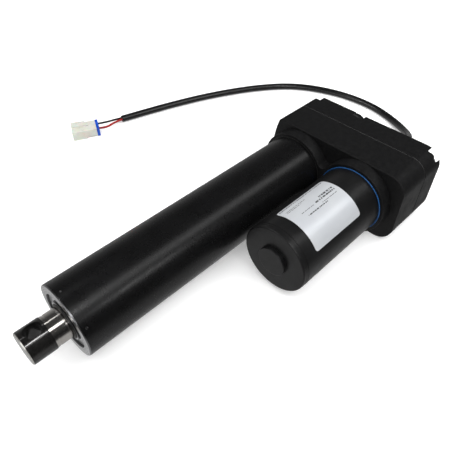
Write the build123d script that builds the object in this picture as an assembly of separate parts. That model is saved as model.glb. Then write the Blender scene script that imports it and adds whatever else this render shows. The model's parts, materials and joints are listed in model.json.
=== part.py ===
from build123d import *
import math
import os

# Electric linear actuator with its motor lying beside the extension tube.
# Row frame, millimetres: the origin is the centre of the rear eye's bore,
# +X runs along the tube toward the rod end, +Y from the tube to the motor, +Z up.
# The bores of the two eyes run along Z.

# ---- driving dimensions ----
STROKE = 180.0
SCREW_LEAD = 5.0
REAR_SWITCH_X = 99.0
SWITCH_GAP = 17.0
MOTOR_Y = 65.4

TUBE_R = 30.0
TUBE_BORE_R = 26.0
TUBE_MOUTH_R = 28.0
TUBE_REAR_X = 78.0
TUBE_FRONT_X = 343.5

ROD_R = 12.5
ROD_BORE_R = 8.75
ROD_REAR_X = 112.0
ROD_BORE_END_X = 318.0
ROD_FRONT_X = 357.0
ROD_END_R = 13.0
ROD_END_TIP_X = 375.5
ROD_EYE_X = 365.0
EYE_BORE_R = 6.5
LUG_R = 13.0
LUG_HALF = 11.0
LUG_FOOT_HALF_Y = 15.5
LUG_FOOT_HALF_Z = 14.5
LUG_FOOT_T = 5.0
BUSH_R = 8.5
CAP_RIM_T = 1.0
CAP_RIM_R = 29.8

REAR_FACE_X = 22.0
PARTING_X = 48.0
GASKET_T = 0.6
FRONT_FACE_X = 84.0
COLLAR_FACE_X = 95.5
HALF_HEIGHT = 34.8
SIDE_Y = 107.5
SIDE_CORNER_R = 16.5
END_Y = -28.6
END_BULGE_Y = -34.8
END_CORNER_R = 3.0
WALL = 4.0
COVER_FLOOR_X = REAR_FACE_X + WALL
CAST_FLOOR_X = 66.0
TUBE_COLLAR_R = 33.3
MOTOR_COLLAR_R = 34.1
EDGE_R = 1.0
PARTING_EDGE_R = 0.3

MOTOR_R = 30.3
CAN_BORE_R = 28.3
CAN_REAR_X = 86.0
CAN_FRONT_X = 193.5
END_CAP_X = 197.0
END_BOSS_X = 200.5
END_BOSS_R = 13.0

SCREW_R = 8.0
SCREW_ROOT_R = 5.4
SCREW_THREAD_X = 82.0
SCREW_TIP_X = 306.0
RUNNING = 0.06
FIT = 0.02

PRESSURE_ANGLE = math.radians(20.0)
ADDENDUM = 0.8
DEDENDUM = 1.05
BACKLASH = 0.12
PINION_TEETH = 14
WHEEL_TEETH = 42
WHEEL_MODULE = 1.0
SMALL_TEETH = 14
LARGE_TEETH = 36
LARGE_MODULE = 1.5

CORD_R = 3.9
WIRE_R = 1.2
GLAND_Y = 54.0
GLAND_THREAD_R = 8.0
# The cord lies on the plane that the housing stands on.
CORD_LIE_Z = -HALF_HEIGHT + CORD_R

# Screws of the rear cover: y, z of each screw, and y, z of the pocket cut round it.
COVER_SCREWS = [
    (-24.5, 26.5, -26.0, 28.5),
    (21.5, 28.6, 21.5, 30.0),
    (97.2, 26.2, 98.2, 27.4),
]
SCREW_HEAD_R = 4.2
SCREW_HEAD_H = 5.0
SCREW_SHANK_R = 2.5
POCKET_FLOOR_X = REAR_FACE_X + 7.5
POCKET_R = 7.2

os.makedirs("parts", exist_ok=True)


# ---- helpers ----
def rod_x(radius, x0, x1, y=0.0, z=0.0):
    """A round bar along X."""
    return Pos((x0 + x1) / 2, y, z) * Rot(0, 90, 0) * Cylinder(radius, x1 - x0)


def ring_x(outer, inner, x0, x1, y=0.0, z=0.0):
    """A plain ring whose axis is along X."""
    return rod_x(outer, x0, x1, y, z) - rod_x(inner, x0 - 1, x1 + 1, y, z)


def rod_z(radius, z0, z1, x=0.0, y=0.0):
    """A round bar along Z."""
    return Pos(x, y, (z0 + z1) / 2) * Cylinder(radius, z1 - z0)


def block(x0, x1, y0, y1, z0, z1):
    """A box from its two corners."""
    return Pos((x0 + x1) / 2, (y0 + y1) / 2, (z0 + z1) / 2) * Box(x1 - x0, y1 - y0, z1 - z0)


def cross_plane(x):
    """The plane at x whose own axes are Y and Z and whose normal is +X."""
    return Plane(origin=(x, 0, 0), x_dir=(0, 1, 0), z_dir=(1, 0, 0))


def prism_x(sketch, x0, x1):
    """A sketch in Y and Z, extruded from x0 to x1."""
    return extrude(cross_plane(x0) * sketch, x1 - x0)


def turned(points, y=0.0, z=0.0):
    """A solid turned about the X axis from (x, radius) points, moved to y, z."""
    outline = make_face(Polyline(*[(px, pr, 0) for px, pr in points], close=True))
    return Pos(0, y, z) * revolve(outline, Axis.X, 360)


def around_x(shape, angle, y=0.0):
    """A shape turned about the X axis through (y, 0)."""
    return Pos(0, y, 0) * Rot(angle, 0, 0) * Pos(0, -y, 0) * shape


def save(name, shape):
    """Write one node. A group of alike pieces goes in as a list of solids."""
    if isinstance(shape, list):
        shape = Compound(children=[solid for piece in shape for solid in piece.solids()])
    export_step(shape, f"parts/{name}.step")


# ---- gears ----
def involute(angle):
    return math.tan(angle) - angle


def gear_face(teeth, module, phase):
    """Face of a spur gear with stub involute teeth; one tooth is centred on phase."""
    pitch_r = module * teeth / 2
    base_r = pitch_r * math.cos(PRESSURE_ANGLE)
    tip_r = pitch_r + ADDENDUM * module
    root_r = pitch_r - DEDENDUM * module
    half_pitch = (math.pi * module / 2 - BACKLASH) / (2 * pitch_r)
    start_r = max(base_r, root_r)

    def half_angle(radius):
        return half_pitch + involute(PRESSURE_ANGLE) - involute(math.acos(base_r / radius))

    def polar(radius, angle):
        return (radius * math.cos(angle), radius * math.sin(angle))

    steps = 5
    radii = [start_r + (tip_r - start_r) * k / steps for k in range(steps + 1)]
    edges = []
    for tooth in range(teeth):
        centre = phase + 2 * math.pi * tooth / teeth
        gap_end = phase + 2 * math.pi * (tooth + 1) / teeth - half_angle(start_r)
        rising = [polar(r, centre - half_angle(r)) for r in radii]
        falling = [polar(r, centre + half_angle(r)) for r in reversed(radii)]
        foot_in = centre - half_angle(start_r)
        foot_out = centre + half_angle(start_r)
        if root_r < start_r:
            edges.append(Line(polar(root_r, foot_in), rising[0]))
        edges.append(Spline(*rising))
        edges.append(ThreePointArc(rising[-1], polar(tip_r, centre), falling[0]))
        edges.append(Spline(*falling))
        if root_r < start_r:
            edges.append(Line(falling[-1], polar(root_r, foot_out)))
        gap_middle = (foot_out + gap_end) / 2
        edges.append(
            ThreePointArc(polar(root_r, foot_out), polar(root_r, gap_middle), polar(root_r, gap_end))
        )
    return make_face(Wire(edges))


def meshing_phase(phase, teeth, mate_teeth, direction):
    """Phase of the mate's tooth, for a mate that lies in the given direction."""
    return direction + math.pi + (direction - phase) * teeth / mate_teeth + math.pi / mate_teeth


wheel_distance = WHEEL_MODULE * (PINION_TEETH + WHEEL_TEETH) / 2
large_distance = LARGE_MODULE * (SMALL_TEETH + LARGE_TEETH) / 2
IDLER_Y = (large_distance ** 2 - wheel_distance ** 2 + MOTOR_Y ** 2) / (2 * MOTOR_Y)
IDLER_Z = math.sqrt(large_distance ** 2 - IDLER_Y ** 2)
toward_idler = math.atan2(IDLER_Z, IDLER_Y - MOTOR_Y)
toward_spindle = math.atan2(-IDLER_Z, -IDLER_Y)
pinion_phase = 0.0
wheel_phase = meshing_phase(pinion_phase, PINION_TEETH, WHEEL_TEETH, toward_idler)
large_phase = meshing_phase(wheel_phase, SMALL_TEETH, LARGE_TEETH, toward_spindle)


# ---- gear housing ----
def housing_outline(inset):
    """Outline of both housing shells in Y and Z, moved in by inset."""
    half = HALF_HEIGHT - inset
    end = END_Y + inset
    bulge = END_BULGE_Y + inset
    side = SIDE_Y - inset
    lines = [
        ThreePointArc((end, half), (bulge, 0), (end, -half)),
        Line((end, -half), (side, -half)),
        Line((side, -half), (side, half)),
        Line((side, half), (end, half)),
    ]
    face = make_face(Wire(lines))
    face = fillet(face.vertices().filter_by(lambda v: v.X > 0), SIDE_CORNER_R - inset)
    return fillet(face.vertices().filter_by(lambda v: v.X < 0), END_CORNER_R)


def screw_places():
    """(y, z, pocket y, pocket z) of the six cover screws."""
    return [(y, s * z, py, s * pz) for y, z, py, pz in COVER_SCREWS for s in (1, -1)]


def cover_bosses(x0, x1):
    """Bosses round the cover screws, trimmed to the housing's outline."""
    shell = prism_x(housing_outline(WALL - 1.0), x0, x1)
    bosses = [rod_x(6.0, x0, x1, y, z) for y, z, py, pz in screw_places()]
    return [boss & shell for boss in bosses]


def edge_ring(solid, x):
    """Edges of a shell that lie wholly in the plane at x and on its outer outline."""
    flat = solid.edges().filter_by(lambda e: abs(e.bounding_box().min.X - x) < 0.01)
    return flat.filter_by(lambda e: abs(e.bounding_box().max.X - x) < 0.01)


def make_gear_housing():
    back_x = PARTING_X + GASKET_T
    body = prism_x(housing_outline(0), back_x, FRONT_FACE_X)
    body = fillet(edge_ring(body, FRONT_FACE_X), 0.6)
    body = fillet(edge_ring(body, back_x), PARTING_EDGE_R)
    collars = Circle(TUBE_COLLAR_R) + Pos(MOTOR_Y, 0) * Circle(MOTOR_COLLAR_R)
    collars = fillet(collars.vertices(), 5.0)
    boss = prism_x(collars, FRONT_FACE_X - 5, COLLAR_FACE_X)
    boss = fillet(edge_ring(boss, COLLAR_FACE_X), 0.5)
    body = body + boss
    cavity = prism_x(housing_outline(WALL), back_x - 1, CAST_FLOOR_X)
    for post in cover_bosses(back_x - 1, CAST_FLOOR_X):
        cavity = cavity - post
    body = body - cavity
    # pad that carries the idler axle
    body = body + rod_x(8.0, 64.0, CAST_FLOOR_X + 1, IDLER_Y, IDLER_Z)
    # bores of the tube, its rear bearing and the motor
    body = body - rod_x(TUBE_R + FIT, TUBE_REAR_X, COLLAR_FACE_X + 1)
    body = body - rod_x(20.0 + FIT, 64.0, TUBE_REAR_X + 1)
    body = body - rod_x(MOTOR_R + 0.05, 80.0, COLLAR_FACE_X + 1, MOTOR_Y)
    body = body - rod_x(9.05, 60.0, 81.0, MOTOR_Y)
    body = body - rod_x(4.0 + FIT, 60.0, 74.0, IDLER_Y, IDLER_Z)
    # seats of the two sealing rings at the collar mouths
    body = body - rod_x(31.3, COLLAR_FACE_X - 1.4, COLLAR_FACE_X + 1, MOTOR_Y)
    body = body - rod_x(31.2, COLLAR_FACE_X - 2.2, COLLAR_FACE_X + 1)
    for y, z, py, pz in screw_places():
        body = body - rod_x(SCREW_SHANK_R + FIT, back_x - 1, 64.0, y, z)
    for side in (1, -1):
        body = body - rod_x(2.0 + FIT, 60.0, 81.0, MOTOR_Y, side * 22.0)
        body = body - rod_x(4.0, 60.0, 70.5, MOTOR_Y, side * 22.0)
    # way for the motor leads
    return body - rod_x(3.5, 60.0, 81.0, MOTOR_Y + 16.0, 10.0)


def make_rear_cover():
    body = prism_x(housing_outline(0), REAR_FACE_X, PARTING_X)
    body = fillet(edge_ring(body, REAR_FACE_X), EDGE_R)
    body = fillet(edge_ring(body, PARTING_X), PARTING_EDGE_R)
    cavity = prism_x(housing_outline(WALL), COVER_FLOOR_X, PARTING_X + 1)
    for post in cover_bosses(COVER_FLOOR_X - 1, PARTING_X + 1):
        cavity = cavity - post
    # metal left under each screw pocket
    for y, z, py, pz in screw_places():
        pad = rod_x(9.5, COVER_FLOOR_X - 1, POCKET_FLOOR_X + WALL, py, pz)
        cavity = cavity - pad
    body = body - cavity
    for y, z, py, pz in screw_places():
        body = body - rod_x(POCKET_R, REAR_FACE_X - 1, POCKET_FLOOR_X, py, pz)
        body = body - rod_x(SCREW_SHANK_R + FIT, REAR_FACE_X, PARTING_X + 1, y, z)
    # seats for the spindle's rear bush and the idler axle
    body = body + ring_x(12.0, 8.0 + FIT, COVER_FLOOR_X - 1, 35.0)
    body = body + ring_x(6.0, 4.0 + FIT, COVER_FLOOR_X - 1, 34.0, IDLER_Y, IDLER_Z)
    return body - rod_x(GLAND_THREAD_R + FIT, REAR_FACE_X - 1, COVER_FLOOR_X + 1, GLAND_Y)


def make_rear_lug():
    """The rear eye, with a foot that is screwed to the cover from inside."""
    foot_x = REAR_FACE_X - LUG_FOOT_T
    tongue = block(0, foot_x + 1, -LUG_R, LUG_R, -LUG_HALF, LUG_HALF) + rod_z(LUG_R, -LUG_HALF, LUG_HALF)
    tongue = fillet(tongue.edges().filter_by(GeomType.CIRCLE), 0.8)
    foot = block(foot_x, REAR_FACE_X, -LUG_FOOT_HALF_Y, LUG_FOOT_HALF_Y, -LUG_FOOT_HALF_Z, LUG_FOOT_HALF_Z)
    foot = chamfer(edge_ring(foot, foot_x), 2.0)
    return tongue + foot - rod_z(BUSH_R + FIT, -20, 20)


def make_gasket():
    face = housing_outline(0.4) - housing_outline(WALL)
    gasket = prism_x(face, PARTING_X, PARTING_X + GASKET_T)
    for y, z, py, pz in screw_places():
        pad = rod_x(5.0, PARTING_X, PARTING_X + GASKET_T, y, z)
        gasket = gasket + (pad & prism_x(housing_outline(WALL - 1.0), PARTING_X, PARTING_X + GASKET_T))
    for y, z, py, pz in screw_places():
        gasket = gasket - rod_x(2.7, PARTING_X - 1, PARTING_X + 2, y, z)
    return gasket


def make_cover_screws():
    screws = []
    for y, z, py, pz in screw_places():
        head_x = POCKET_FLOOR_X - SCREW_HEAD_H
        head = rod_x(SCREW_HEAD_R, head_x, POCKET_FLOOR_X, y, z)
        head = fillet(edge_ring(head, head_x), 0.6)
        socket = prism_x(Pos(y, z) * RegularPolygon(2.3, 6), head_x - 1, head_x + 2.4)
        screws.append(head - socket + rod_x(SCREW_SHANK_R, POCKET_FLOOR_X - 0.5, 62.0, y, z))
    return screws


# ---- tube and front gland ----
def make_outer_tube():
    tube = rod_x(TUBE_R, TUBE_REAR_X, TUBE_FRONT_X - CAP_RIM_T)
    tube = tube - rod_x(TUBE_BORE_R, TUBE_REAR_X - 1, TUBE_FRONT_X + 1)
    tube = tube - rod_x(TUBE_MOUTH_R, 338.0, TUBE_FRONT_X + 1)
    for side in (1, -1):
        keyway = block(TUBE_REAR_X - 1, 312.0, 24.0, 27.6, -3.3, 3.3)
        tube = tube - around_x(keyway, 90 - side * 90)
    for angle in range(30, 390, 60):
        hole = Pos(339.0, 0, 0) * rod_z(1.05, 27.0, 31.0)
        tube = tube - around_x(hole, angle - 90)
    return tube


def make_front_cap():
    rim = rod_x(CAP_RIM_R, TUBE_FRONT_X - CAP_RIM_T + FIT, TUBE_FRONT_X)
    rim = chamfer(edge_ring(rim, TUBE_FRONT_X), 0.35)
    cap = rod_x(TUBE_BORE_R - FIT, 313.5, 338.0) + rod_x(TUBE_MOUTH_R - 0.1, 338.0, TUBE_FRONT_X - 0.5) + rim
    cap = cap - ring_x(22.8, 16.0, TUBE_FRONT_X - 1.6, TUBE_FRONT_X + 1)
    cap = cap - ring_x(27, 24.2, 320.0, 323.0)
    cap = cap - rod_x(15.0 + FIT, 313.0, 334.0)
    cap = cap - rod_x(16.0 + FIT, 335.5, 339.0)
    cap = cap - rod_x(13.2, 330.0, 341.0)
    cap = cap - rod_x(14.6 + FIT, 340.5, TUBE_FRONT_X + 1)
    for angle in range(30, 390, 60):
        hole = Pos(339.0, 0, 0) * rod_z(1.05, 25.0, 29.0)
        cap = cap - around_x(hole, angle - 90)
    return cap


def make_cap_lock_screws():
    return [
        around_x(Pos(339.0, 0, 0) * rod_z(1.0, 25.2, 29.8), angle - 90)
        for angle in range(30, 390, 60)
    ]


# ---- screw, nut and rod ----
def make_lead_screw():
    points = [(28.0, 0), (28.0, 6.0), (36.0, 6.0), (36.0, 7.0), (48.0, 7.0), (48.0, 11.0)]
    points += [(52.0, 11.0), (52.0, 8.5), (76.0, 8.5), (76.0, SCREW_R), (SCREW_THREAD_X, SCREW_R)]
    crest = 1.6
    flank = 0.9
    x = SCREW_THREAD_X + 3.0
    while x + SCREW_LEAD < SCREW_TIP_X - 4:
        points += [(x, SCREW_R), (x + flank, SCREW_ROOT_R), (x + SCREW_LEAD - crest - flank, SCREW_ROOT_R)]
        points += [(x + SCREW_LEAD - crest, SCREW_R)]
        x += SCREW_LEAD
    points += [(SCREW_TIP_X, SCREW_R), (SCREW_TIP_X, 4.0), (SCREW_TIP_X + 6, 4.0), (SCREW_TIP_X + 6, 0)]
    return turned(points)


def make_drive_nut():
    nut = rod_x(16.0, 98.0, 122.0) + rod_x(19.0, 98.0, 101.0)
    nut = nut - rod_x(SCREW_R + RUNNING, 97.0, 123.0)
    nut = nut - rod_x(ROD_R + FIT, ROD_REAR_X, 123.0)
    for angle in (45, 225):
        nut = nut - around_x(Pos(117.0, 0, 0) * rod_z(1.55, 10.0, 17.0), angle)
    return nut


def make_nut_lock_screws():
    return [around_x(Pos(117.0, 0, 0) * rod_z(1.5, ROD_R + 0.05, 15.8), angle) for angle in (45, 225)]


def make_guide_ring():
    ring = rod_x(TUBE_BORE_R - 0.3, 101.2, 118.0)
    for side in (1, -1):
        ring = ring + around_x(block(101.2, 118.0, 20.0, 27.2, -3.0, 3.0), 90 - side * 90)
    ring = ring - rod_x(16.0 + FIT, 100.0, 119.0)
    return ring - block(100.0, 119.0, -8.5, 8.5, -27.0, -18.0)


def make_extension_rod():
    rod = rod_x(ROD_R, ROD_REAR_X, ROD_FRONT_X)
    rod = rod - ring_x(ROD_R + 1, ROD_R - 0.45, 353.8, 355.0)
    rod = rod - rod_x(ROD_BORE_R, ROD_REAR_X - 1, ROD_BORE_END_X)
    return rod - rod_x(6.0 + FIT, 337.0, ROD_FRONT_X + 1)


def make_rod_end():
    head = rod_x(ROD_END_R, ROD_FRONT_X, ROD_END_TIP_X)
    head = chamfer(edge_ring(head, ROD_END_TIP_X), 0.9)
    head = head + rod_x(6.0, 338.0, ROD_FRONT_X + 1)
    head = head - rod_z(EYE_BORE_R, -20, 20, ROD_EYE_X)
    bore_edges = head.edges().filter_by(lambda e: e.bounding_box().size.X < 2 * EYE_BORE_R + 0.1)
    bore_edges = bore_edges.filter_by(lambda e: abs(e.center().X - ROD_EYE_X) < 4)
    bore_edges = bore_edges.filter_by(lambda e: e.bounding_box().size.X > 2 * EYE_BORE_R - 0.1)
    return chamfer(bore_edges, 0.6)


# ---- bearings ----
BALL_R = 3.3
BALL_PITCH_R = 14.25
BALL_X = 70.0


def ball_track():
    """Solid ring that the balls run in, cut from both races."""
    circle = Pos(BALL_X, BALL_PITCH_R, 0) * Circle(BALL_R + 0.05)
    return revolve(circle, Axis.X, 360)


def make_bearing_outer():
    return ring_x(20.0, 16.2, 64.0, 76.0) - ball_track()


def make_bearing_inner():
    return ring_x(12.3, 8.5 + FIT, 64.0, 76.0) - ball_track()


def make_bearing_balls():
    spots = [math.radians(45 * k) for k in range(8)]
    return [
        Pos(BALL_X, BALL_PITCH_R * math.cos(a), BALL_PITCH_R * math.sin(a)) * Sphere(BALL_R)
        for a in spots
    ]


def make_bearing_cage():
    cage = ring_x(15.4, 13.2, 65.8, 74.2)
    for k in range(8):
        a = math.radians(45 * k)
        centre = Pos(BALL_X, BALL_PITCH_R * math.cos(a), BALL_PITCH_R * math.sin(a))
        cage = cage - centre * Sphere(BALL_R + 0.08)
    return cage


# ---- motor ----
def make_motor_can():
    can = rod_x(MOTOR_R, CAN_REAR_X, CAN_FRONT_X, MOTOR_Y)
    can = can - rod_x(CAN_BORE_R, CAN_REAR_X - 1, CAN_FRONT_X + 1, MOTOR_Y)
    return can - ring_x(MOTOR_R + 1, MOTOR_R - 0.25, 191.2, 191.9, MOTOR_Y)


def make_motor_end_cap():
    cap = rod_x(MOTOR_R - 0.15, CAN_FRONT_X, END_CAP_X, MOTOR_Y)
    cap = fillet(edge_ring(cap, END_CAP_X), 1.2)
    boss = rod_x(END_BOSS_R, END_CAP_X - 1, END_BOSS_X, MOTOR_Y)
    boss = fillet(edge_ring(boss, END_BOSS_X), 0.8)
    cap = cap + boss + rod_x(CAN_BORE_R - FIT, 189.0, CAN_FRONT_X + 0.5, MOTOR_Y)
    return cap - rod_x(8.0 + FIT, 188.0, 198.0, MOTOR_Y)


def make_motor_flange():
    flange = rod_x(MOTOR_R - 0.1, 80.0, CAN_REAR_X, MOTOR_Y)
    flange = flange + rod_x(CAN_BORE_R - FIT, CAN_REAR_X - 0.5, 91.0, MOTOR_Y)
    flange = flange + rod_x(9.0, 70.0, 81.0, MOTOR_Y)
    flange = flange - rod_x(8.0 + FIT, 82.0, 92.0, MOTOR_Y)
    flange = flange - rod_x(4.6, 69.0, 92.0, MOTOR_Y)
    for side in (1, -1):
        flange = flange - rod_x(2.0 + FIT, 79.0, 92.0, MOTOR_Y, side * 22.0)
    return flange - rod_x(3.5, 79.0, 92.0, MOTOR_Y + 16.0, 10.0)


def make_motor_seal():
    """Ring between the motor and its collar, standing a little proud of the collar."""
    proud_x = COLLAR_FACE_X + 0.6
    ring = ring_x(31.2, MOTOR_R + FIT, COLLAR_FACE_X - 1.3, proud_x, MOTOR_Y)
    return fillet(edge_ring(ring, proud_x), 0.35)


def make_motor_shaft():
    points = [(50.0, 0), (50.0, 3.0), (66.0, 3.0), (66.0, 4.0), (196.0, 4.0), (196.0, 0)]
    return turned(points, MOTOR_Y)


def winding_angles():
    return [360 / 12 * k for k in range(12)]


def make_armature_core():
    core = ring_x(22.0, 4.0 + FIT, 114.0, 172.0, MOTOR_Y)
    for angle in winding_angles():
        slot = rod_x(2.6, 113.0, 173.0, MOTOR_Y + 16.8)
        mouth = block(113.0, 173.0, MOTOR_Y + 17.0, MOTOR_Y + 23.0, -0.8, 0.8)
        core = core - around_x(slot + mouth, angle, MOTOR_Y)
    return core


def make_armature_windings():
    coils = ring_x(19.8, 8.0, 106.0, 113.9, MOTOR_Y) + ring_x(19.8, 8.0, 172.1, 180.0, MOTOR_Y)
    coils = fillet(edge_ring(coils, 106.0), 2.0)
    coils = fillet(edge_ring(coils, 180.0), 2.0)
    for angle in winding_angles():
        coils = coils + around_x(rod_x(2.5, 112.0, 174.0, MOTOR_Y + 16.8), angle, MOTOR_Y)
    return coils


def make_commutator_bars():
    bars = ring_x(9.0, 6.5, 95.0, 104.5, MOTOR_Y)
    for angle in winding_angles():
        slit = block(94.0, 106.0, MOTOR_Y + 5.0, MOTOR_Y + 10.0, -0.3, 0.3)
        bars = bars - around_x(slit, angle, MOTOR_Y)
    return [bar for bar in bars.solids()]


def make_brush_plate():
    plate = ring_x(CAN_BORE_R - 0.2, 11.0, 91.2, 93.2, MOTOR_Y)
    for angle in (0, 180):
        box = block(93.0, 104.0, MOTOR_Y + 11.0, MOTOR_Y + 26.0, -4.6, 4.6)
        hole = block(95.0, 102.4, MOTOR_Y + 8.0, MOTOR_Y + 25.0, -3.1, 3.1)
        plate = plate + around_x(box - hole, angle, MOTOR_Y)
    return plate


def make_brushes():
    brush = block(95.1, 102.3, MOTOR_Y + 8.0, MOTOR_Y + 18.0, -3.0, 3.0) - rod_x(9.06, 94.0, 104.0, MOTOR_Y)
    return [around_x(brush, angle, MOTOR_Y) for angle in (0, 180)]


def make_brush_springs():
    springs = []
    for side in (1, -1):
        centre_y = MOTOR_Y + side * 21.5
        body = Pos(98.7, centre_y, 0) * Rot(90, 0, 0) * Cylinder(2.6, 6.8)
        core = Pos(98.7, centre_y, 0) * Rot(90, 0, 0) * Cylinder(1.8, 8.0)
        springs.append(body - core)
    return springs


def make_field_magnets():
    shell = ring_x(CAN_BORE_R - 0.05, 22.8, 110.0, 176.0, MOTOR_Y)
    gap = block(109.0, 177.0, MOTOR_Y - 30.0, MOTOR_Y + 30.0, -9.0, 9.0)
    return [magnet for magnet in (shell - gap).solids()]


def make_motor_screws():
    screws = []
    for side in (1, -1):
        head = rod_x(3.5, 66.6, 70.5, MOTOR_Y, side * 22.0)
        head = head - prism_x(Pos(MOTOR_Y, side * 22.0) * RegularPolygon(1.7, 6), 66.0, 68.6)
        screws.append(head + rod_x(2.0, 70.0, 90.0, MOTOR_Y, side * 22.0))
    return screws


# ---- cord, wires and connector ----
CORD_START_X = 14.0
CORD_POINTS = [
    (CORD_START_X, GLAND_Y, 0.0),
    (-14.0, GLAND_Y, 0.0),
    (-42.0, 50.0, -11.0),
    (-69.0, 36.0, -24.0),
    (-92.0, 7.0, CORD_LIE_Z),
    (-103.0, -31.0, CORD_LIE_Z),
    (-98.0, -80.0, CORD_LIE_Z),
    (-75.0, -128.0, CORD_LIE_Z),
    (-35.0, -161.0, CORD_LIE_Z),
    (18.0, -188.0, CORD_LIE_Z),
    (68.0, -206.0, CORD_LIE_Z),
    (107.0, -217.0, CORD_LIE_Z),
    (137.0, -225.0, CORD_LIE_Z),
]
# The connector's own axes: its front points along AHEAD, its width along ACROSS.
CONNECTOR_ANGLE = -26.0
PLUG_LENGTH = 30.5
LOCK_T = 3.2
PLUG_X = 168.0
PLUG_Y = -227.0
BLACK_POINTS = [
    (136.6, -226.6, -30.6),
    (146.5, -230.6, -31.0),
    (156.2, -229.9, -29.0),
    (165.7, -232.6, -28.0),
]
RED_POINTS = [
    (137.4, -223.4, -30.6),
    (147.0, -226.4, -31.6),
    (160.8, -221.6, -30.2),
    (169.6, -223.8, -28.0),
]


def route_radii(points):
    """Largest tangent arc at each inner point: 0.45 of its shorter run over tan(half turn)."""
    radii = []
    for k in range(1, len(points) - 1):
        before = Vector(*points[k]) - Vector(*points[k - 1])
        after = Vector(*points[k + 1]) - Vector(*points[k])
        half_turn = math.radians(before.get_angle(after)) / 2
        radii.append(0.45 * min(before.length, after.length) / math.tan(half_turn))
    return radii


def make_route(points, radius, name):
    """Round tube along straight runs joined by tangent arcs."""
    radii = route_radii(points)
    path = FilletPolyline(*points, radius=radii)
    start = path @ 0
    section = Plane(origin=start, z_dir=path % 0) * Circle(radius)
    tube = sweep(section, path=path)
    expected = math.pi * radius ** 2 * path.length
    print(name, "radii", [round(r, 1) for r in radii], "length", round(path.length, 1),
          "volume ratio", round(tube.volume / expected, 4))
    return tube


def make_cable_gland():
    points = [(4.0, 4.1), (4.0, 5.6), (10.0, 8.0), (15.0, 8.6), (15.0, 11.0), (22.0, 11.0)]
    points += [(22.0, GLAND_THREAD_R), (30.0, GLAND_THREAD_R), (30.0, 4.1)]
    gland = turned(points, GLAND_Y)
    hexagon = prism_x(Pos(GLAND_Y, 0) * RegularPolygon(11.0, 6), 15.0, 22.0)
    return gland & (hexagon + rod_x(9.5, 0.0, 15.0, GLAND_Y) + rod_x(9.5, 21.9, 31.0, GLAND_Y))


def at_connector(shape):
    """Place a shape built along +X from the connector's rear face."""
    return Pos(PLUG_X, PLUG_Y, -HALF_HEIGHT) * Rot(0, 0, CONNECTOR_ANGLE) * shape


def make_connector_housing():
    rear = block(LOCK_T, 15.5, -9.6, 9.6, 0.4, 10.6)
    rear = fillet(rear.edges().filter_by(Axis.X), 0.8)
    front = block(14.5, PLUG_LENGTH, -11.0, 11.0, 0.0, 11.4)
    front = fillet(front.edges().filter_by(Axis.X), 1.2)
    body = rear + front
    for y in (-5.2, 5.2):
        body = body - block(17.0, PLUG_LENGTH + 1, y - 3.9, y + 3.9, 2.2, 9.2)
        body = body - block(2.0, 9.0, y - 2.2, y + 2.2, 4.6, 9.0)
        panel = block(18.5, 24.5, y - 2.6, y + 2.6, 11.0, 12.0)
        body = body - fillet(panel.edges().filter_by(Axis.Z), 0.5)
    rib = block(12.0, PLUG_LENGTH - 1.5, -0.9, 0.9, 10.4, 12.0)
    body = body + fillet(rib.edges().filter_by(Axis.X), 0.4)
    return at_connector(body)


def make_connector_lock():
    plate = block(0.0, LOCK_T, -9.9, 9.9, 0.3, 10.9)
    plate = fillet(plate.edges().filter_by(Axis.X), 1.0)
    tab = block(0.0, LOCK_T, 6.4, 10.3, 2.6, 11.5)
    plate = plate + fillet(tab.edges().filter_by(Axis.X), 0.8)
    return at_connector(plate)


def make_connector_pins():
    pins = []
    for y in (-5.2, 5.2):
        pins.append(at_connector(block(17.0, 21.0, y - 0.9, y + 0.9, 4.8, 6.6)))
    return pins


# ---- write every node ----
save("gear_housing", make_gear_housing())
save("rear_cover", make_rear_cover())
save("cover_gasket", make_gasket())
save("cover_screws", make_cover_screws())
save("rear_lug", make_rear_lug())
save("rear_eye_bush", rod_z(BUSH_R, -LUG_HALF, LUG_HALF) - rod_z(EYE_BORE_R, -20, 20))

save("outer_tube", make_outer_tube())
save("tube_seal_ring", ring_x(31.15, TUBE_R + 0.02, COLLAR_FACE_X - 2.1, COLLAR_FACE_X - 0.1))
save("front_cap", make_front_cap())
save("cap_seal_ring", ring_x(TUBE_BORE_R - 0.03, 24.25, 320.2, 322.8))
save("cap_lock_screws", make_cap_lock_screws())
save("rod_bush", ring_x(15.0, ROD_R + RUNNING, 314.0, 333.9))
save("rod_seal", ring_x(16.0, ROD_R + RUNNING, 335.6, 338.9))
save("rod_wiper", ring_x(14.6, ROD_R + RUNNING, 341.1, TUBE_FRONT_X + 0.4))

save("lead_screw", make_lead_screw())
save("spindle_nut", ring_x(12.5, SCREW_R + FIT, 76.1, 81.5))
save("screw_end_guide", ring_x(ROD_BORE_R - RUNNING, 4.0 + FIT, SCREW_TIP_X + 0.1, SCREW_TIP_X + 5.8))
save("drive_nut", make_drive_nut())
save("nut_lock_screws", make_nut_lock_screws())
save("guide_ring", make_guide_ring())
save("extension_rod", make_extension_rod())
save("rod_end", make_rod_end())

save("bearing_outer_race", make_bearing_outer())
save("bearing_inner_race", make_bearing_inner())
save("bearing_balls", make_bearing_balls())
save("bearing_cage", make_bearing_cage())
save("bearing_circlip", ring_x(19.9, 17.4, 76.1, 77.6) - block(76.0, 78.0, 15.0, 21.0, -3.0, 3.0))
save("spindle_rear_bush", ring_x(8.0, 6.0 + RUNNING, 28.5, 35.5))

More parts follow.
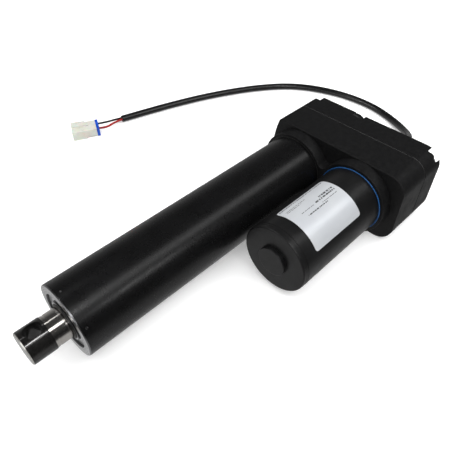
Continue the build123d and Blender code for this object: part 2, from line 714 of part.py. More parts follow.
spindle_gear = prism_x(gear_face(LARGE_TEETH, LARGE_MODULE, large_phase), 36.5, 47.9)
save("spindle_gear", spindle_gear - rod_x(7.0 + FIT, 36.0, 49.0))
idler_at = Pos(IDLER_Y, IDLER_Z)
idler_wheel = prism_x(idler_at * gear_face(WHEEL_TEETH, WHEEL_MODULE, wheel_phase), 54.5, 62.0)
save("idler_wheel", idler_wheel - rod_x(6.0, 54.0, 63.0, IDLER_Y, IDLER_Z))
idler_pinion = prism_x(idler_at * gear_face(SMALL_TEETH, LARGE_MODULE, wheel_phase), 35.0, 54.4)
idler_pinion = idler_pinion + rod_x(5.98, 54.0, 63.0, IDLER_Y, IDLER_Z)
save("idler_pinion", idler_pinion - rod_x(4.0 + RUNNING, 34.0, 64.0, IDLER_Y, IDLER_Z))
save("idler_axle", rod_x(4.0, 27.0, 73.5, IDLER_Y, IDLER_Z))
motor_pinion = prism_x(Pos(MOTOR_Y, 0) * gear_face(PINION_TEETH, WHEEL_MODULE, pinion_phase), 53.5, 63.0)
save("motor_pinion", motor_pinion - rod_x(3.0 + FIT, 53.0, 64.0, MOTOR_Y))

save("motor_can", make_motor_can())
save("motor_end_cap", make_motor_end_cap())
save("motor_flange", make_motor_flange())
save("motor_seal_ring", make_motor_seal())
save("motor_shaft", make_motor_shaft())
save("motor_bush_front", ring_x(8.0, 4.0 + RUNNING, 82.2, 90.5, MOTOR_Y))
save("motor_bush_rear", ring_x(8.0, 4.0 + RUNNING, 189.5, 197.5, MOTOR_Y))
save("armature_core", make_armature_core())
save("armature_windings", make_armature_windings())
save("commutator_sleeve", ring_x(6.48, 4.0 + FIT, 94.5, 105.5, MOTOR_Y))
save("commutator_bars", make_commutator_bars())
save("brush_plate", make_brush_plate())
save("carbon_brushes", make_brushes())
save("brush_springs", make_brush_springs())
save("field_magnets", make_field_magnets())
save("motor_screws", make_motor_screws())

limit_board = block(98.0, 308.0, -3.0, 3.0, -25.0, -23.8)
save("limit_switch_board", limit_board)
switch_places = (REAR_SWITCH_X, REAR_SWITCH_X + STROKE + SWITCH_GAP)
save("limit_switches", [block(x, x + 10.0, -4.0, 4.0, -23.75, -20.0) for x in switch_places])

save("cable_gland", make_cable_gland())
save("gland_locknut", ring_x(10.2, GLAND_THREAD_R + FIT, COVER_FLOOR_X + 0.02, COVER_FLOOR_X + 3.5, GLAND_Y))
save("cord_sheath", make_route(CORD_POINTS, CORD_R, "cord_sheath"))
save("wire_black", make_route(BLACK_POINTS, WIRE_R, "wire_black"))
save("wire_red", make_route(RED_POINTS, WIRE_R, "wire_red"))
save("connector_housing", make_connector_housing())
save("connector_lock", make_connector_lock())
save("connector_pins", make_connector_pins())
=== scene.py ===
"""Linear actuator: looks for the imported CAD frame.

Metres, in the CAD's own frame: X along the tube, Y towards the motor, Z up.
"""

import json
import math
import random

import bmesh
import bpy
from mathutils import Matrix, Vector


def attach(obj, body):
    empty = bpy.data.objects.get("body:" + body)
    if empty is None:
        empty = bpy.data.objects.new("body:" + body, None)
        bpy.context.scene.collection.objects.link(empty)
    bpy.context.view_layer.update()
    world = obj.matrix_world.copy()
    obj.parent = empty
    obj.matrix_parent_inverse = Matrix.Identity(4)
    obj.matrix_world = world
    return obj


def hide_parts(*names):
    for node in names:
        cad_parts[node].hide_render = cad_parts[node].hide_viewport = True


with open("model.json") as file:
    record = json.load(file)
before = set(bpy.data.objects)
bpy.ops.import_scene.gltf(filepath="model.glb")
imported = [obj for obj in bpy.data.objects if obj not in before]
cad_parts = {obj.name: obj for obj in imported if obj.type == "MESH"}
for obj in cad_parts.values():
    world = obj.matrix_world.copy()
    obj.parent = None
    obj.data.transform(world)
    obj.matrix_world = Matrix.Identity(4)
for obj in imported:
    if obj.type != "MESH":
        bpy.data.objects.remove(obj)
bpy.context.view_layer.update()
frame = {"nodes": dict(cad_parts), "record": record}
MM = 0.001

# ---- sizes that the CAD source also has, in millimetres ----
MOTOR_Y = 65.4
MOTOR_R = 30.3
CAP_RECESS_R = (16.0, 22.8)
CAP_RIM_R = 29.8
CAP_CHAMFER = 0.35
ROD_END_TIP_X = 375.5
ROD_END_CHAMFER = 0.9
FLOOR_Z = -34.8
CORD_R = 3.9
WIRE_R = 1.2
CORD_LIE_Z = FLOOR_Z + CORD_R
CORD_POINTS = [
    (14.0, 54.0, 0.0),
    (-14.0, 54.0, 0.0),
    (-42.0, 50.0, -11.0),
    (-69.0, 36.0, -24.0),
    (-92.0, 7.0, CORD_LIE_Z),
    (-103.0, -31.0, CORD_LIE_Z),
    (-98.0, -80.0, CORD_LIE_Z),
    (-75.0, -128.0, CORD_LIE_Z),
    (-35.0, -161.0, CORD_LIE_Z),
    (18.0, -188.0, CORD_LIE_Z),
    (68.0, -206.0, CORD_LIE_Z),
    (107.0, -217.0, CORD_LIE_Z),
    (137.0, -225.0, CORD_LIE_Z),
]
BLACK_POINTS = [
    (136.6, -226.6, -30.6),
    (146.5, -230.6, -31.0),
    (156.2, -229.9, -29.0),
    (165.7, -232.6, -28.0),
]
RED_POINTS = [
    (137.4, -223.4, -30.6),
    (147.0, -226.4, -31.6),
    (160.8, -221.6, -30.2),
    (169.6, -223.8, -28.0),
]


def link(thing):
    """Put an object in the scene."""
    bpy.context.collection.objects.link(thing)
    return thing


# ---- camera ----
CAMERA_PLACE = (0.3952, 0.2103, 0.2824)
CAMERA_AHEAD = (-0.4974, -0.4996, -0.7092)
CAMERA_UP = (-0.4983, -0.5047, 0.705)
CAMERA_LENS = 37.84
CAMERA_SENSOR = 36.0


def make_camera():
    """A camera at the photograph's viewing angle."""
    ahead = Vector(CAMERA_AHEAD).normalized()
    right = ahead.cross(Vector(CAMERA_UP)).normalized()
    up = right.cross(ahead).normalized()
    turn = Matrix((right, up, -ahead)).transposed().to_4x4()
    data = bpy.data.cameras.new("camera")
    data.sensor_width = CAMERA_SENSOR
    data.lens = CAMERA_LENS
    data.clip_start = 0.01
    data.clip_end = 30.0
    camera = link(bpy.data.objects.new("camera", data))
    camera.matrix_world = Matrix.Translation(CAMERA_PLACE) @ turn
    bpy.context.scene.camera = camera


# ---- materials ----
# Sockets of a Mix node that blends colours. Their names are shared with its other sockets.
MIX_FIRST = 6
MIX_SECOND = 7
MIX_RESULT = 2
# Bands of another tone, in mm: the blur of their edges each way, how far they go past a
# wall's own radius, and how wide the painted shade is by the recess's inner and outer walls.
BAND_BLUR = 0.1
WALL_MARGIN = 0.05
RECESS_SHADE_WIDTH = (0.6, 0.7)
PAST_RIM = 1.2
PAST_TIP = 1.5
# Painted shade: a near-black tone laid by the recess's walls, where shade falls.
RECESS_SHADE = (0.04, 0.04, 0.042)
DULL_RIM = (0.3, 0.3, 0.31)
# Pale steel for the rod end's tip chamfer: partly its bare metal, partly a painted highlight.
BARE_STEEL_AND_HIGHLIGHT = (0.5, 0.49, 0.46)
NOISE_ROUGHNESS = 0.55
LINE_DETAIL = 3.0


class Finish:
    """One node material: a Principled shader fed by procedural layers in object space."""

    def __init__(self, name, colour, **sockets):
        """Other sockets of the shader are given by name, with _ for a space."""
        self.material = bpy.data.materials.new(name)
        self.material.use_nodes = True
        self.tree = self.material.node_tree
        self.shader = self.tree.nodes["Principled BSDF"]
        self.shader.inputs["Base Color"].default_value = (*colour, 1.0)
        self.normal = None
        for socket, value in sockets.items():
            self.shader.inputs[socket.replace("_", " ")].default_value = value

    def node(self, kind, **settings):
        """A new node, with some of its properties set."""
        made = self.tree.nodes.new(kind)
        for key, value in settings.items():
            setattr(made, key, value)
        return made

    def link(self, out, to):
        self.tree.links.new(out, to)

    def place(self, stretch=(1.0, 1.0, 1.0)):
        """Object coordinates, stretched along the axes."""
        coords = self.node("ShaderNodeTexCoord")
        mapping = self.node("ShaderNodeMapping")
        mapping.inputs["Scale"].default_value = stretch
        self.link(coords.outputs["Object"], mapping.inputs["Vector"])
        return mapping.outputs["Vector"]

    def distance(self, axes=(1.0, 1.0, 1.0)):
        """Distance from the origin over the given axes, in metres."""
        length = self.node("ShaderNodeVectorMath", operation="LENGTH")
        self.link(self.place(axes), length.inputs[0])
        return length.outputs["Value"]

    def noise(self, scale, detail=2.0, stretch=(1.0, 1.0, 1.0)):
        made = self.node("ShaderNodeTexNoise")
        made.inputs["Scale"].default_value = scale
        made.inputs["Detail"].default_value = detail
        made.inputs["Roughness"].default_value = NOISE_ROUGHNESS
        self.link(self.place(stretch), made.inputs["Vector"])
        return made.outputs["Fac"]

    def lines(self, value, scale):
        """Noise of one value, such as a radius, for turned marks."""
        made = self.node("ShaderNodeTexNoise", noise_dimensions="1D")
        made.inputs["Scale"].default_value = scale
        made.inputs["Detail"].default_value = LINE_DETAIL
        self.link(value, made.inputs["W"])
        return made.outputs["Fac"]

    def cells(self, scale):
        """Distance to the nearest of many scattered points, for pores."""
        made = self.node("ShaderNodeTexVoronoi", feature="F1")
        made.inputs["Scale"].default_value = scale
        self.link(self.place(), made.inputs["Vector"])
        return made.outputs["Distance"]

    def spread(self, value, low, high, start=0.3, end=0.7):
        """Map a factor onto low to high."""
        made = self.node("ShaderNodeMapRange")
        made.inputs["From Min"].default_value = start
        made.inputs["From Max"].default_value = end
        made.inputs["To Min"].default_value = low
        made.inputs["To Max"].default_value = high
        self.link(value, made.inputs["Value"])
        return made.outputs["Result"]

    def rough(self, value, low, high):
        """Vary the roughness between two limits."""
        self.link(self.spread(value, low, high), self.shader.inputs["Roughness"])
        return self

    def tint(self, value, dark, light, start=0.35, end=0.65):
        """Blend the base colour between two tones."""
        made = self.node("ShaderNodeValToRGB")
        made.color_ramp.elements[0].position = start
        made.color_ramp.elements[0].color = (*dark, 1.0)
        made.color_ramp.elements[1].position = end
        made.color_ramp.elements[1].color = (*light, 1.0)
        self.link(value, made.inputs["Fac"])
        self.link(made.outputs["Color"], self.shader.inputs["Base Color"])
        return self

    def along_x(self):
        """Distance along X, in metres."""
        split = self.node("ShaderNodeSeparateXYZ")
        self.link(self.place(), split.inputs["Vector"])
        return split.outputs["X"]

    def band(self, value, low, high):
        """1 where a value in metres lies between two limits in mm, 0 elsewhere."""
        off = self.node("ShaderNodeMath", operation="SUBTRACT")
        off.inputs[1].default_value = (low + high) / 2 * MM
        self.link(value, off.inputs[0])
        size = self.node("ShaderNodeMath", operation="ABSOLUTE")
        self.link(off.outputs[0], size.inputs[0])
        half = (high - low) / 2
        return self.spread(
            size.outputs[0], 1.0, 0.0, (half - BAND_BLUR) * MM, (half + BAND_BLUR) * MM)

    def over(self, factor, colour):
        """Lay another tone over the base colour where the factor is 1."""
        base = self.shader.inputs["Base Color"]
        mix = self.node("ShaderNodeMix", data_type="RGBA")
        self.link(factor, mix.inputs["Factor"])
        self.link(base.links[0].from_socket, mix.inputs[MIX_FIRST])
        mix.inputs[MIX_SECOND].default_value = (*colour, 1.0)
        self.link(mix.outputs[MIX_RESULT], base)
        return self

    def bump(self, value, strength, depth):
        """Add one relief layer; depth is in metres."""
        made = self.node("ShaderNodeBump")
        made.inputs["Strength"].default_value = strength
        made.inputs["Distance"].default_value = depth
        self.link(value, made.inputs["Height"])
        if self.normal is not None:
            self.link(self.normal, made.inputs["Normal"])
        self.normal = made.outputs["Normal"]
        self.link(self.normal, self.shader.inputs["Normal"])
        return self


def powder_coat():
    """Cast housing paint: fine orange peel over a slower roll."""
    made = Finish("powder_coat_black", (0.005, 0.005, 0.0052), Specular_IOR_Level=0.26)
    made.tint(made.noise(260.0, 4.0), (0.0036, 0.0036, 0.0038), (0.006, 0.006, 0.0062))
    made.rough(made.noise(90.0, 3.0), 0.44, 0.56)
    made.bump(made.noise(1500.0, 3.0), 0.5, 0.00012)
    return made.bump(made.noise(240.0, 2.0), 0.07, 0.0003).material


def anodised_black():
    """Anodised tube with faint marks drawn along it."""
    made = Finish("anodised_black", (0.003, 0.003, 0.0031), Specular_IOR_Level=0.42)
    made.tint(made.noise(60.0, 3.0), (0.0026, 0.0026, 0.0027), (0.0036, 0.0036, 0.0038))
    made.rough(made.noise(160.0, 2.0), 0.26, 0.3)
    made.bump(made.noise(900.0, 3.0, (0.02, 1.0, 1.0)), 0.02, 0.00002)
    return made.bump(made.noise(2600.0, 2.0), 0.02, 0.00001).material


def satin_black_paint():
    made = Finish("satin_black_paint", (0.005, 0.005, 0.0052), Specular_IOR_Level=0.42)
    made.tint(made.noise(60.0, 4.0), (0.004, 0.004, 0.0042), (0.007, 0.007, 0.0072))
    made.rough(made.noise(160.0, 3.0), 0.3, 0.4)
    return made.bump(made.noise(700.0, 3.0), 0.12, 0.00008).material


def machined_face():
    """Turned aluminium: rings round the tube's axis, painted shade by the recess's walls, a duller
    rim.
    """
    made = Finish("machined_aluminium", (0.78, 0.78, 0.79), Metallic=1.0, Anisotropic=0.4)
    radius = made.distance((0.0, 1.0, 1.0))
    made.tint(made.lines(radius, 900.0), (0.64, 0.64, 0.65), (0.84, 0.84, 0.85))
    inner, outer = CAP_RECESS_R
    chamfer_r = CAP_RIM_R - CAP_CHAMFER
    # Painted shade in bands by the recess's outer and inner walls.
    made.over(made.band(radius, outer - RECESS_SHADE_WIDTH[1], outer + WALL_MARGIN), RECESS_SHADE)
    made.over(made.band(radius, inner - WALL_MARGIN, inner + RECESS_SHADE_WIDTH[0]), RECESS_SHADE)
    made.over(made.band(radius, chamfer_r - WALL_MARGIN, CAP_RIM_R + PAST_RIM), DULL_RIM)
    made.rough(made.lines(radius, 2500.0), 0.2, 0.32)
    return made.bump(made.lines(radius, 4000.0), 0.1, 0.00004).material


def chromed_rod():
    """Polished chrome with very fine marks round the rod."""
    made = Finish("chromed_rod", (0.7, 0.68, 0.65), Metallic=1.0)
    made.tint(made.noise(70.0, 3.0, (2.0, 1.0, 1.0)), (0.62, 0.59, 0.55), (0.7, 0.68, 0.65))
    made.rough(made.noise(3000.0, 2.0, (1.0, 0.02, 0.02)), 0.1, 0.15)
    return made.bump(made.noise(5000.0, 2.0, (1.0, 0.01, 0.01)), 0.03, 0.00001).material


def dark_steel():
    """Blackened steel, with a pale bare-steel tone on the chamfer at the rod end's tip, partly a
    painted highlight.
    """
    made = Finish(
        "dark_steel", (0.05, 0.048, 0.046),
        Metallic=0.7, Coat_Weight=0.5, Coat_Roughness=0.04,
    )
    made.tint(made.noise(120.0, 4.0), (0.012, 0.0117, 0.0114), (0.03, 0.029, 0.028))
    chamfer_x = ROD_END_TIP_X - ROD_END_CHAMFER
    # Painted highlight: a pale bare-steel band on the tip's chamfer, partly the chamfer's own bare
    # metal.
    tip = made.band(made.along_x(), chamfer_x + BAND_BLUR, ROD_END_TIP_X + PAST_TIP)
    made.over(tip, BARE_STEEL_AND_HIGHLIGHT)
    made.rough(made.noise(400.0, 4.0), 0.1, 0.2)
    return made.bump(made.noise(2500.0, 3.0), 0.06, 0.00003).material


def bright_steel():
    made = Finish("machined_steel", (0.6, 0.6, 0.61), Metallic=1.0)
    made.tint(made.noise(300.0, 3.0), (0.51, 0.51, 0.5185), (0.66, 0.66, 0.671))
    made.rough(made.noise(900.0, 3.0, (1.0, 0.2, 0.2)), 0.2, 0.38)
    return made.bump(made.noise(2500.0, 2.0, (1.0, 0.05, 0.05)), 0.08, 0.00003).material


def screw_black():
    made = Finish("screw_black", (0.02, 0.02, 0.021), Metallic=0.6)
    made.tint(made.noise(500.0, 3.0), (0.014, 0.014, 0.015), (0.035, 0.034, 0.033))
    made.rough(made.noise(600.0, 3.0), 0.3, 0.45)
    return made.bump(made.noise(3000.0, 2.0), 0.1, 0.00004).material


def sintered_bronze():
    made = Finish("sintered_bronze", (0.5, 0.33, 0.15), Metallic=1.0)
    made.tint(made.noise(900.0, 3.0), (0.4, 0.25, 0.1), (0.6, 0.42, 0.2))
    made.rough(made.noise(1500.0, 2.0), 0.35, 0.5)
    return made.bump(made.cells(3500.0), 0.15, 0.00005).material


def copper_wire():
    made = Finish(
        "copper_wire", (0.7, 0.3, 0.14),
        Metallic=1.0, Coat_Weight=0.6, Coat_Roughness=0.15,
    )
    made.tint(made.noise(400.0, 2.0), (0.55, 0.2, 0.08), (0.75, 0.34, 0.17))
    made.rough(made.noise(600.0, 2.0), 0.25, 0.4)
    return made.bump(made.noise(1400.0, 1.0, (0.1, 1.0, 1.0)), 0.5, 0.0002).material


def moulded(name, dark, light, rough=(0.4, 0.5), grain=1200.0, relief=0.1, **sockets):
    """Moulded plastic or rubber with a fine grain."""
    made = Finish(name, dark, **sockets)
    made.tint(made.noise(150.0, 3.0), dark, light)
    made.rough(made.noise(250.0, 3.0), *rough)
    return made.bump(made.noise(grain, 3.0), relief, 0.00006).material


def braided_sleeve():
    """Glossy black yarn; the weave itself is in the sleeve's mesh."""
    made = Finish("braided_sleeve", (0.006, 0.006, 0.006), Specular_IOR_Level=0.9)
    made.tint(made.noise(500.0, 3.0), (0.002, 0.002, 0.0022), (0.006, 0.006, 0.006))
    made.rough(made.noise(900.0, 2.0), 0.12, 0.2)
    return made.bump(made.noise(4200.0, 2.0), 0.1, 0.00004).material


def printed_label():
    """Silvery label film."""
    made = Finish("label_film", (0.56, 0.58, 0.61), Metallic=0.4, Specular_IOR_Level=0.5)
    made.tint(made.noise(35.0, 2.0), (0.56, 0.58, 0.61), (0.61, 0.63, 0.65))
    made.rough(made.noise(200.0, 3.0), 0.3, 0.4)
    return made.bump(made.noise(900.0, 2.0), 0.04, 0.00004).material


def make_finishes():
    """Every material slot of the record, by name, and the label's ink."""
    return {
        "cast_black": powder_coat(),
        "tube_black": anodised_black(),
        "can_black": satin_black_paint(),
        "machined_aluminium": machined_face(),
        "rod_steel": chromed_rod(),
        "dark_steel": dark_steel(),
        "steel": bright_steel(),
        "screw_black": screw_black(),
        "bronze": sintered_bronze(),
        "copper": copper_wire(),
        "black_rubber": moulded("black_rubber", (0.008,) * 3, (0.014,) * 3, (0.4, 0.55)),
        "blue_rubber": moulded(
            "blue_rubber", (0.008, 0.062, 0.19), (0.014, 0.087, 0.26), (0.35, 0.45),
        ),
        # The gasket's grey, lighter than the housing, is partly a painted highlight along the
        # parting line.
        "gasket": moulded("gasket_sheet", (0.06,) * 3, (0.1,) * 3, (0.35, 0.45), relief=0.2),
        "guide_plastic": moulded("guide_plastic", (0.6, 0.58, 0.5), (0.72, 0.7, 0.62)),
        "black_plastic": moulded("black_plastic", (0.02,) * 3, (0.032,) * 3, (0.4, 0.55)),
        "nylon_white": moulded(
            "nylon_white", (0.49, 0.5, 0.45), (0.55, 0.56, 0.51), (0.25, 0.4), 700.0, 0.08,
            Subsurface_Weight=0.6, Subsurface_Scale=0.002,
        ),
        "lock_blue": moulded(
            "lock_blue", (0.004, 0.045, 0.32), (0.007, 0.07, 0.43), (0.2, 0.3), 600.0, 0.05,
        ),
        "ferrite": moulded("ferrite", (0.05,) * 3, (0.09,) * 3, (0.5, 0.7)),
        "carbon": moulded("carbon", (0.02,) * 3, (0.04,) * 3, (0.4, 0.6)),
        "board": moulded("board", (0.02, 0.12, 0.05), (0.03, 0.18, 0.08), (0.3, 0.45)),
        "sheath": braided_sleeve(),
        "wire_red": moulded(
            "wire_red", (0.24, 0.004, 0.004), (0.32, 0.008, 0.006), (0.25, 0.35), 500.0, 0.04,
        ),
        "wire_black": moulded(
            "wire_black", (0.004,) * 3, (0.007,) * 3, (0.25, 0.35), 500.0, 0.04,
            Specular_IOR_Level=0.2,
        ),
        "label": printed_label(),
        "ink": moulded("label_ink", (0.03, 0.032, 0.036), (0.06, 0.062, 0.066), (0.4, 0.5)),
    }


# ---- cord and wires ----
ROUTE_STEPS = 40
WIRE_ROUNDNESS = 6
# Every how many rings the cord's path has a point.
PATH_STRIDE = 4


def route_curve(name, points):
    """The route as one smooth NURBS spline, in metres."""
    data = bpy.data.curves.new(name, "CURVE")
    data.dimensions = "3D"
    data.resolution_u = ROUTE_STEPS
    spline = data.splines.new("NURBS")
    spline.points.add(len(points) - 1)
    for point, place in zip(spline.points, points):
        point.co = (*(c * MM for c in place), 1.0)
    spline.order_u = 3
    spline.use_endpoint_u = True
    return link(bpy.data.objects.new(name, data))


def route_line(curve):
    """Points of the curve's own centreline."""
    mesh = bpy.data.meshes.new_from_object(curve)
    line = [vertex.co.copy() for vertex in mesh.vertices]
    bpy.data.meshes.remove(mesh)
    return line


def evenly(line, step):
    """The same line with points about one step apart, and its length."""
    runs = [(b - a).length for a, b in zip(line, line[1:])]
    total = sum(runs)
    count = max(2, round(total / step))
    spaced, k, gone = [], 0, 0.0
    for i in range(count + 1):
        target = total * i / count
        while k < len(runs) - 1 and gone + runs[k] < target:
            gone += runs[k]
            k += 1
        share = min(1.0, max(0.0, (target - gone) / runs[k]))
        spaced.append(line[k].lerp(line[k + 1], share))
    return spaced, total


def rings_along(line):
    """A frame (point, side, up, ahead) at each point, turned as little as possible."""
    frames, side = [], None
    for k, point in enumerate(line):
        ahead = (line[min(k + 1, len(line) - 1)] - line[max(k - 1, 0)]).normalized()
        if side is None:
            side = ahead.cross(Vector((0, 0, 1))).normalized()
        side = (side - ahead * side.dot(ahead)).normalized()
        frames.append((point, side, side.cross(ahead).normalized(), ahead))
    return frames


STRANDS = 12
STRAND_PITCH = 2.1 * MM
BRAID_DEPTH = 0.15 * MM
# How flat a strand's top is across (smaller is flatter), and its height where it dives under.
STRAND_FLATNESS = 0.6
DIVE_HEIGHT = 0.55
RING_SIDES = 72
RING_STEP = 0.42 * MM
# The sleeve's open end: its wall, as shares of its radius, and the depth of the hollow.
LIP_R = 0.78
HOLLOW_R = 0.74
HOLLOW_DEPTH = 4.0 * MM


def braid_height(turn, along):
    """Height from 0 to 1 of a plain braid at a share of a turn and a distance along."""
    u = STRANDS * turn + along / STRAND_PITCH
    w = STRANDS * turn - along / STRAND_PITCH
    over = (math.floor(u) + math.floor(w)) % 2
    across, length = (u % 1.0, w % 1.0) if over else (w % 1.0, u % 1.0)
    crown = math.sin(math.pi * across) ** STRAND_FLATNESS
    return crown * (DIVE_HEIGHT + (1 - DIVE_HEIGHT) * math.sin(math.pi * length))


def add_ring(bm, frame_at, radius, shift=0.0):
    """A ring of vertices; radius is a number or a function of the share of a turn."""
    point, side, up, ahead = frame_at
    made = []
    for k in range(RING_SIDES):
        angle = 2 * math.pi * k / RING_SIDES
        reach = radius(k / RING_SIDES) if callable(radius) else radius
        spot = point + ahead * shift + side * reach * math.cos(angle) + up * reach * math.sin(angle)
        made.append(bm.verts.new(spot))
    return made


def join_rings(bm, first, second):
    """A band of quads between two rings."""
    for k in range(RING_SIDES):
        j = (k + 1) % RING_SIDES
        bm.faces.new((first[k], first[j], second[j], second[k]))


def mesh_object(name, bm, *materials):
    """Turn a bmesh into a smooth-shaded object."""
    mesh = bpy.data.meshes.new(name)
    bm.to_mesh(mesh)
    bm.free()
    for polygon in mesh.polygons:
        polygon.use_smooth = True
    for material in materials:
        mesh.materials.append(material)
    return link(bpy.data.objects.new(name, mesh))


def make_cord(finishes):
    """The braided sleeve: a mesh tube with woven relief, open a little at its far end."""
    curve = route_curve("cord_route", CORD_POINTS)
    line = route_line(curve)
    bpy.data.objects.remove(curve)
    spaced, total = evenly(line, RING_STEP)
    frames = rings_along(spaced)
    radius = CORD_R * MM
    bm = bmesh.new()
    rings = []
    for k, frame_at in enumerate(frames):
        along = total * k / (len(frames) - 1)
        rings.append(add_ring(
            bm, frame_at, lambda turn: radius - BRAID_DEPTH * (1 - braid_height(turn, along))))
    for first, second in zip(rings, rings[1:]):
        join_rings(bm, first, second)
    bm.faces.new(reversed(rings[0]))
    # the sleeve's cut end, with a dark hollow behind it
    lip = add_ring(bm, frames[-1], radius * LIP_R)
    inner = add_ring(bm, frames[-1], radius * HOLLOW_R, -HOLLOW_DEPTH)
    join_rings(bm, rings[-1], lip)
    join_rings(bm, lip, inner)
    bm.faces.new(inner)
    bmesh.ops.recalc_face_normals(bm, faces=bm.faces)
    made = mesh_object("cord_sleeve", bm, finishes["sheath"])
    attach(made, "root")
    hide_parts("cord_sheath")
    path = spaced[::PATH_STRIDE]
    if path[-1] != spaced[-1]:
        path.append(spaced[-1])
    return made, path


def make_wire(name, node, points, material):
    """A wire: its route, swept as a round tube. Its slot has its node's name."""
    made = route_curve(name, points)
    made.data.bevel_depth = WIRE_R * MM
    made.data.bevel_resolution = WIRE_ROUNDNESS
    made.data.use_fill_caps = True
    made.data.materials.append(material)
    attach(made, "root")
    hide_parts(node)
    return made


def make_cords(finishes):
    """The sleeve and both wires."""
    sleeve, path = make_cord(finishes)
    black = make_wire("black_wire", "wire_black", BLACK_POINTS, finishes["wire_black"])
    red = make_wire("red_wire", "wire_red", RED_POINTS, finishes["wire_red"])


# ---- motor label ----
LABEL_X = (121.5, 179.6)
LABEL_ANGLES = (31.0, 121.0)
LABEL_CORNER = 2.6
LABEL_LIFT = 0.05
LABEL_T = 0.1
LABEL_CELL = 0.5
LABEL_EDGE_ANGLE = math.radians(40)
LABEL_SEED = 7
DASH_LENGTH = (1.0, 3.6)
DASH_GAP = (0.5, 0.9)
# Rows of plain dashes: angle in degrees, then start x, end x and the marks' height in mm.
LABEL_ROWS = [
    (117.0, 124.0, 177.0, 1.0),
    (108.5, 152.0, 175.0, 0.5),
    (105.5, 158.0, 175.0, 0.5),
    (95.0, 125.5, 143.0, 1.5),
    (90.0, 125.5, 150.0, 1.5),
    (89.0, 153.0, 168.0, 0.5),
    (84.0, 127.0, 146.0, 0.5),
    (80.5, 141.0, 165.0, 1.0),
]


def label_marks():
    """Boxes (x0, x1, y0, y1) of the dashes, in mm on the unrolled film."""
    draw = random.Random(LABEL_SEED)
    marks = []
    for angle, start, end, height in LABEL_ROWS:
        middle = math.radians(angle) * MOTOR_R
        x = start
        while x < end:
            run = draw.uniform(*DASH_LENGTH)
            marks.append((x, min(x + run, end), middle - height / 2, middle + height / 2))
            x += run + draw.uniform(*DASH_GAP)
    return marks


def make_label(finishes):
    """A thin film wrapped on the motor, with rounded corners and rows of plain dashes."""
    low, high = (math.radians(a) * MOTOR_R for a in LABEL_ANGLES)
    columns = round((LABEL_X[1] - LABEL_X[0]) / LABEL_CELL)
    rows = round((high - low) / LABEL_CELL)
    marks = label_marks()
    bm = bmesh.new()
    layers = []
    for lift in (LABEL_LIFT, LABEL_LIFT + LABEL_T):
        grid = []
        for i in range(columns + 1):
            x = LABEL_X[0] + (LABEL_X[1] - LABEL_X[0]) * i / columns
            gap = max(0.0, LABEL_CORNER - min(x - LABEL_X[0], LABEL_X[1] - x))
            cut = LABEL_CORNER - math.sqrt(max(0.0, LABEL_CORNER ** 2 - gap ** 2))
            line = []
            for j in range(rows + 1):
                arc = low + cut + (high - low - 2 * cut) * j / rows
                angle = arc / MOTOR_R
                reach = MOTOR_R + lift
                spot = (x, MOTOR_Y + reach * math.cos(angle), reach * math.sin(angle))
                line.append(bm.verts.new([c * MM for c in spot]))
            grid.append(line)
        layers.append(grid)
    under, over = layers
    for i in range(columns):
        for j in range(rows):
            bm.faces.new((under[i][j], under[i + 1][j], under[i + 1][j + 1], under[i][j + 1]))
            top = bm.faces.new((over[i][j], over[i][j + 1], over[i + 1][j + 1], over[i + 1][j]))
            middle = top.calc_center_median() / MM
            arc = math.atan2(middle.z, middle.y - MOTOR_Y) * MOTOR_R
            if any(x0 <= middle.x <= x1 and y0 <= arc <= y1 for x0, x1, y0, y1 in marks):
                top.material_index = 1
    for i in range(columns):
        for j in (0, rows):
            bm.faces.new((under[i][j], under[i + 1][j], over[i + 1][j], over[i][j]))
    for j in range(rows):
        for i in (0, columns):
            bm.faces.new((under[i][j], under[i][j + 1], over[i][j + 1], over[i][j]))
    bmesh.ops.recalc_face_normals(bm, faces=bm.faces)
    made = mesh_object("motor_label", bm, finishes["label"], finishes["ink"])
    made.data.set_sharp_from_angle(angle=LABEL_EDGE_ANGLE)
    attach(made, "root")


# ---- CAD nodes ----
def paint_nodes(finishes):
    """Give each CAD node the material of its slot in the record."""
    slot_of = {part["node"]: part["material_slot"] for part in frame["record"]["subparts"]}
    for name, node in frame["nodes"].items():
        material = finishes[slot_of[name]]
        if not node.material_slots:
            node.data.materials.append(material)
        for slot in node.material_slots:
            slot.material = material


# ---- floor and light ----
FLOOR_SIZE = 6.0
FLOOR_GAP = 0.00005
FLOOR_GLOW = 0.28
# The far floor glows more, so that it meets the backdrop's tone.
FAR_GLOW = 0.66
FAR_FLOOR = (1.5, 4.5)
BACKDROP_R = 5.8
BACKDROP_GLOW = 0.9


def stage_finish(name, grey, roughness, specular):
    """A plain grey that also gives off white light."""
    made = Finish(name, (grey,) * 3, Roughness=roughness, Specular_IOR_Level=specular)
    made.shader.inputs["Emission Color"].default_value = (1.0, 1.0, 1.0, 1.0)
    return made


def make_floor():
    """A pale floor. Polished parts reflect the dimmer studio below the horizon instead."""
    made = stage_finish("floor_white", 0.82, 0.7, 0.2)
    glow = made.spread(made.distance(), FLOOR_GLOW, FAR_GLOW, *FAR_FLOOR)
    made.link(glow, made.shader.inputs["Emission Strength"])
    bm = bmesh.new()
    bmesh.ops.create_grid(bm, x_segments=1, y_segments=1, size=FLOOR_SIZE)
    floor = mesh_object("floor", bm, made.material)
    floor.location = (0.0, 0.0, FLOOR_Z * MM - FLOOR_GAP)
    floor.visible_glossy = False


def make_backdrop():
    """A plain pale dome round the floor, seen by the camera only."""
    made = stage_finish("backdrop_white", 0.0, 1.0, 0.0)
    made.shader.inputs["Emission Strength"].default_value = BACKDROP_GLOW
    bm = bmesh.new()
    bmesh.ops.create_uvsphere(bm, u_segments=64, v_segments=32, radius=BACKDROP_R)
    backdrop = mesh_object("backdrop", bm, made.material)
    backdrop.visible_glossy = False
    backdrop.visible_diffuse = False
    backdrop.visible_transmission = False
    backdrop.visible_shadow = False


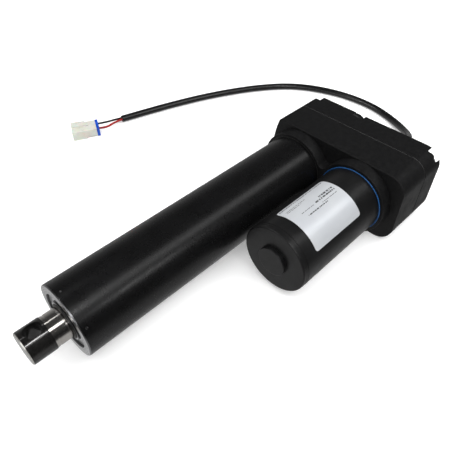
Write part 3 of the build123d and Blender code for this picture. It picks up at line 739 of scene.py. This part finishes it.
def area_light(name, place, target, size, power, glossy):
    """A rectangular lamp; the first of its sizes runs along X."""
    data = bpy.data.lights.new(name, "AREA")
    data.shape = "RECTANGLE"
    data.size, data.size_y = size
    data.energy = power
    light = link(bpy.data.objects.new(name, data))
    light.location = place
    light.rotation_mode = "QUATERNION"
    light.rotation_quaternion = (Vector(target) - Vector(place)).to_track_quat("-Z", "Y")
    light.visible_glossy = glossy


# Brightness of the studio by height (Z of the direction), at its -Y and +Y sides.
STUDIO_REAR = [(-1.0, 0.42), (-0.3, 0.42), (0.0, 0.3), (0.6, 0.06), (1.0, 0.06)]
STUDIO_MOTOR = [(-1.0, 0.42), (-0.55, 0.42), (-0.3, 0.04), (0.0, 0.015), (1.0, 0.05)]


def make_world():
    """A dim studio: darker overhead and on the motor's side, paler below."""
    world = bpy.data.worlds.new("studio")
    world.use_nodes = True
    tree = world.node_tree
    back = tree.nodes["Background"]
    coords = tree.nodes.new("ShaderNodeTexCoord")
    split = tree.nodes.new("ShaderNodeSeparateXYZ")
    tree.links.new(coords.outputs["Generated"], split.inputs["Vector"])
    mix = tree.nodes.new("ShaderNodeMix")
    mix.data_type = "RGBA"
    share = {}
    for axis in ("Z", "Y"):
        made = tree.nodes.new("ShaderNodeMapRange")
        made.inputs["From Min"].default_value = -1.0
        tree.links.new(split.outputs[axis], made.inputs["Value"])
        share[axis] = made.outputs["Result"]
    tree.links.new(share["Y"], mix.inputs["Factor"])
    for steps, socket in ((STUDIO_REAR, MIX_FIRST), (STUDIO_MOTOR, MIX_SECOND)):
        ramp = tree.nodes.new("ShaderNodeValToRGB")
        stops = ramp.color_ramp.elements
        while len(stops) < len(steps):
            stops.new(0.5)
        for stop, (at, level) in zip(stops, steps):
            stop.position = (at + 1.0) / 2.0
            stop.color = (level, level, level, 1.0)
        tree.links.new(share["Z"], ramp.inputs["Fac"])
        tree.links.new(ramp.outputs["Color"], mix.inputs[socket])
    tree.links.new(mix.outputs[MIX_RESULT], back.inputs["Color"])
    bpy.context.scene.world = world


# Each lamp's name, place, target, size, power, and whether polished parts reflect it.
LIGHTS = [
    ("fill", (0.2, 0.2, 2.2), (0.15, 0.0, 0.0), (4.0, 4.0), 130.0, False),
    ("strip_wide", (-0.35, 0.6, 1.0), (-0.35, 0.0, 0.0), (1.7, 0.34), 3.1, True),
    ("strip_bright", (0.31, 0.575, 1.0), (0.36, 0.0, 0.0), (0.16, 0.07), 0.7, True),
    ("strip_narrow", (0.33, -0.41, 1.0), (0.33, 0.0, 0.0), (0.26, 0.08), 0.2, True),
    ("low_front", (0.9, -0.58, 0.6), (-0.1, -0.05, 0.0), (0.7, 0.14), 1.5, True),
    ("low_corner", (0.8, 0.64, 0.6), (-0.07, -0.13, 0.0), (0.7, 0.14), 1.5, True),
    ("low_motor", (-0.05, 0.91, 0.63), (0.07, -0.2, 0.0), (0.28, 0.14), 0.62, True),
    ("card_front", (1.2, 0.05, 0.14), (0.37, 0.0, 0.0), (0.8, 0.25), 1.0, True),
]


make_camera()
finishes = make_finishes()
make_cords(finishes)
paint_nodes(finishes)
make_label(finishes)
make_floor()
make_backdrop()
make_world()
for lamp in LIGHTS:
    area_light(*lamp)
bpy.context.scene.view_settings.view_transform = "Standard"
